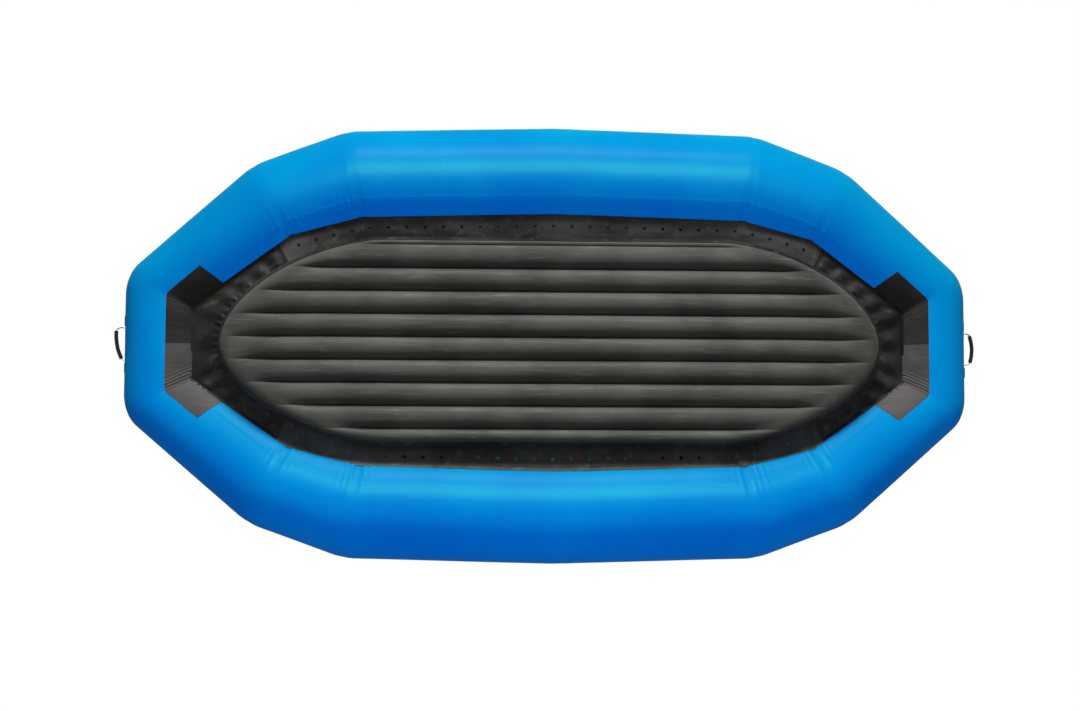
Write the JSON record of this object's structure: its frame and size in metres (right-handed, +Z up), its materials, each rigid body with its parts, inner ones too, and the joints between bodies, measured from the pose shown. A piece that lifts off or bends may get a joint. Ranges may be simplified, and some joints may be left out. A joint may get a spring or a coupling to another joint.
{
  "type": "whitewater raft",
  "caption": "Inflatable self-bailing river raft: faceted ring of air tubes, ribbed floor on a drain skirt, thwarts, valves, lashing rings and end handles.",
  "frame": {"origin": "middle of the raft in plan, on the ground under the level part of the side tubes", "axes": "+X towards the bow, +Y to port, +Z up; the raft is the same at both ends and on both sides apart from the floor's two valves"},
  "size_m": [4.322, 2.134, 0.72],
  "materials": {
    "tube_fabric": "satin",
    "baffle_fabric": "matte",
    "floor_fabric": "satin",
    "web_fabric": "matte",
    "skirt_fabric": "satin",
    "wear_fabric": "satin",
    "valve_plastic": "satin",
    "stem_plastic": "satin",
    "webbing": "matte",
    "grip_rubber": "matte",
    "ring_steel": "polished"
  },
  "bodies": {
    "raft": {"baffle_bow": "baffle_fabric", "baffle_port": "baffle_fabric", "baffle_starboard": "baffle_fabric", "baffle_stern": "baffle_fabric", "bow_port_valve_body": "valve_plastic", "bow_skirt": "skirt_fabric", "bow_starboard_valve_body": "valve_plastic", "bow_thwart": "tube_fabric", "bow_thwart_valve_body": "valve_plastic", "bow_wear_patch": "wear_fabric", "chamber_bow_port": "tube_fabric", "chamber_bow_starboard": "tube_fabric", "chamber_stern_port": "tube_fabric", "chamber_stern_starboard": "tube_fabric", "drain_skirt_port": "skirt_fabric", "drain_skirt_starboard": "skirt_fabric", "floor_bottom_skin": "floor_fabric", "floor_top_skin": "floor_fabric", "floor_valve_body": "valve_plastic", "floor_web_1": "web_fabric", "floor_web_2": "web_fabric", "floor_web_3": "web_fabric", "floor_web_4": "web_fabric", "floor_web_5": "web_fabric", "floor_web_6": "web_fabric", "floor_web_7": "web_fabric", "floor_web_8": "web_fabric", "lashing_ring_bow_port_patch": "webbing", "lashing_ring_bow_starboard_patch": "webbing", "lashing_ring_stern_port_patch": "webbing", "lashing_ring_stern_starboard_patch": "webbing", "relief_valve_body": "valve_plastic", "stern_port_valve_body": "valve_plastic", "stern_skirt": "skirt_fabric", "stern_starboard_valve_body": "valve_plastic", "stern_thwart": "tube_fabric", "stern_thwart_valve_body": "valve_plastic", "stern_wear_patch": "wear_fabric"},
    "bow_handle": {"bow_handle_strap": "webbing", "bow_handle_grip": "grip_rubber"},
    "bow_port_valve_cap": {"bow_port_valve_cap": "valve_plastic"},
    "bow_port_valve_stem": {"bow_port_valve_stem": "stem_plastic"},
    "bow_starboard_valve_cap": {"bow_starboard_valve_cap": "valve_plastic"},
    "bow_starboard_valve_stem": {"bow_starboard_valve_stem": "stem_plastic"},
    "bow_thwart_valve_cap": {"bow_thwart_valve_cap": "valve_plastic"},
    "floor_valve_cap": {"floor_valve_cap": "valve_plastic"},
    "floor_valve_stem": {"floor_valve_stem": "stem_plastic"},
    "lashing_ring_bow_port": {"lashing_ring_bow_port": "ring_steel"},
    "lashing_ring_bow_starboard": {"lashing_ring_bow_starboard": "ring_steel"},
    "lashing_ring_stern_port": {"lashing_ring_stern_port": "ring_steel"},
    "lashing_ring_stern_starboard": {"lashing_ring_stern_starboard": "ring_steel"},
    "relief_valve_poppet": {"relief_valve_poppet": "stem_plastic"},
    "stern_handle": {"stern_handle_strap": "webbing", "stern_handle_grip": "grip_rubber"},
    "stern_port_valve_cap": {"stern_port_valve_cap": "valve_plastic"},
    "stern_port_valve_stem": {"stern_port_valve_stem": "stem_plastic"},
    "stern_starboard_valve_cap": {"stern_starboard_valve_cap": "valve_plastic"},
    "stern_starboard_valve_stem": {"stern_starboard_valve_stem": "stem_plastic"},
    "stern_thwart_valve_cap": {"stern_thwart_valve_cap": "valve_plastic"}
  },
  "joints": [
    {"name": "bow_handle_swing", "type": "hinge", "parent": "raft", "child": "bow_handle", "pos_m": [2.12204, 0, 0.43666], "axis": [0, 1, 0], "range_deg": [-60, 60]},
    {"name": "bow_port_cap_hinge", "type": "hinge", "parent": "raft", "child": "bow_port_valve_cap", "pos_m": [0.38515, 0.61836, 0.48627], "axis": [-0.9997, 0.026, 0], "range_deg": [0, 170]},
    {"name": "bow_port_stem_push", "type": "slide", "parent": "raft", "child": "bow_port_valve_stem", "axis": [0.0184, 0.7069, -0.7071], "range_m": [0, 0.006], "stiffness_N_per_m": 150},
    {"name": "bow_starboard_cap_hinge", "type": "hinge", "parent": "raft", "child": "bow_starboard_valve_cap", "pos_m": [0.38515, -0.61836, 0.48627], "axis": [0.9997, 0.026, 0], "range_deg": [0, 170]},
    {"name": "bow_starboard_stem_push", "type": "slide", "parent": "raft", "child": "bow_starboard_valve_stem", "axis": [0.0184, -0.7069, -0.7071], "range_m": [0, 0.006], "stiffness_N_per_m": 150},
    {"name": "bow_thwart_cap_hinge", "type": "hinge", "parent": "raft", "child": "bow_thwart_valve_cap", "pos_m": [0.46224, 0.3, 0.42726], "axis": [0, -1, 0], "range_deg": [0, 170]},
    {"name": "floor_cap_hinge", "type": "hinge", "parent": "raft", "child": "floor_valve_cap", "pos_m": [0.93, -0.0338, 0.1463], "axis": [1, 0, 0], "range_deg": [0, 170]},
    {"name": "floor_stem_push", "type": "slide", "parent": "raft", "child": "floor_valve_stem", "axis": [0, 0, -1], "range_m": [0, 0.006], "stiffness_N_per_m": 150},
    {"name": "lashing_ring_bow_port_swing", "type": "hinge", "parent": "raft", "child": "lashing_ring_bow_port", "pos_m": [0.61122, 0.97896, 0.46188], "axis": [0.9997, -0.026, 0], "range_deg": [0, 180]},
    {"name": "lashing_ring_bow_starboard_swing", "type": "hinge", "parent": "raft", "child": "lashing_ring_bow_starboard", "pos_m": [0.61122, -0.97896, 0.46188], "axis": [-0.9997, -0.026, 0], "range_deg": [0, 180]},
    {"name": "lashing_ring_stern_port_swing", "type": "hinge", "parent": "raft", "child": "lashing_ring_stern_port", "pos_m": [-0.61122, 0.97896, 0.46188], "axis": [0.9997, 0.026, 0], "range_deg": [0, 180]},
    {"name": "lashing_ring_stern_starboard_swing", "type": "hinge", "parent": "raft", "child": "lashing_ring_stern_starboard", "pos_m": [-0.61122, -0.97896, 0.46188], "axis": [-0.9997, 0.026, 0], "range_deg": [0, 180]},
    {"name": "relief_poppet_lift", "type": "slide", "parent": "raft", "child": "relief_valve_poppet", "axis": [0, 0, 1], "range_m": [0, 0.004], "stiffness_N_per_m": 300},
    {"name": "stern_handle_swing", "type": "hinge", "parent": "raft", "child": "stern_handle", "pos_m": [-2.12204, 0, 0.43666], "axis": [0, -1, 0], "range_deg": [-60, 60]},
    {"name": "stern_port_cap_hinge", "type": "hinge", "parent": "raft", "child": "stern_port_valve_cap", "pos_m": [-0.38515, 0.61836, 0.48627], "axis": [-0.9997, -0.026, 0], "range_deg": [0, 170]},
    {"name": "stern_port_stem_push", "type": "slide", "parent": "raft", "child": "stern_port_valve_stem", "axis": [-0.0184, 0.7069, -0.7071], "range_m": [0, 0.006], "stiffness_N_per_m": 150},
    {"name": "stern_starboard_cap_hinge", "type": "hinge", "parent": "raft", "child": "stern_starboard_valve_cap", "pos_m": [-0.38515, -0.61836, 0.48627], "axis": [0.9997, -0.026, 0], "range_deg": [0, 170]},
    {"name": "stern_starboard_stem_push", "type": "slide", "parent": "raft", "child": "stern_starboard_valve_stem", "axis": [-0.0184, -0.7069, -0.7071], "range_m": [0, 0.006], "stiffness_N_per_m": 150},
    {"name": "stern_thwart_cap_hinge", "type": "hinge", "parent": "raft", "child": "stern_thwart_valve_cap", "pos_m": [-0.46224, 0.3, 0.42726], "axis": [0, 1, 0], "range_deg": [0, 170]}
  ]
}
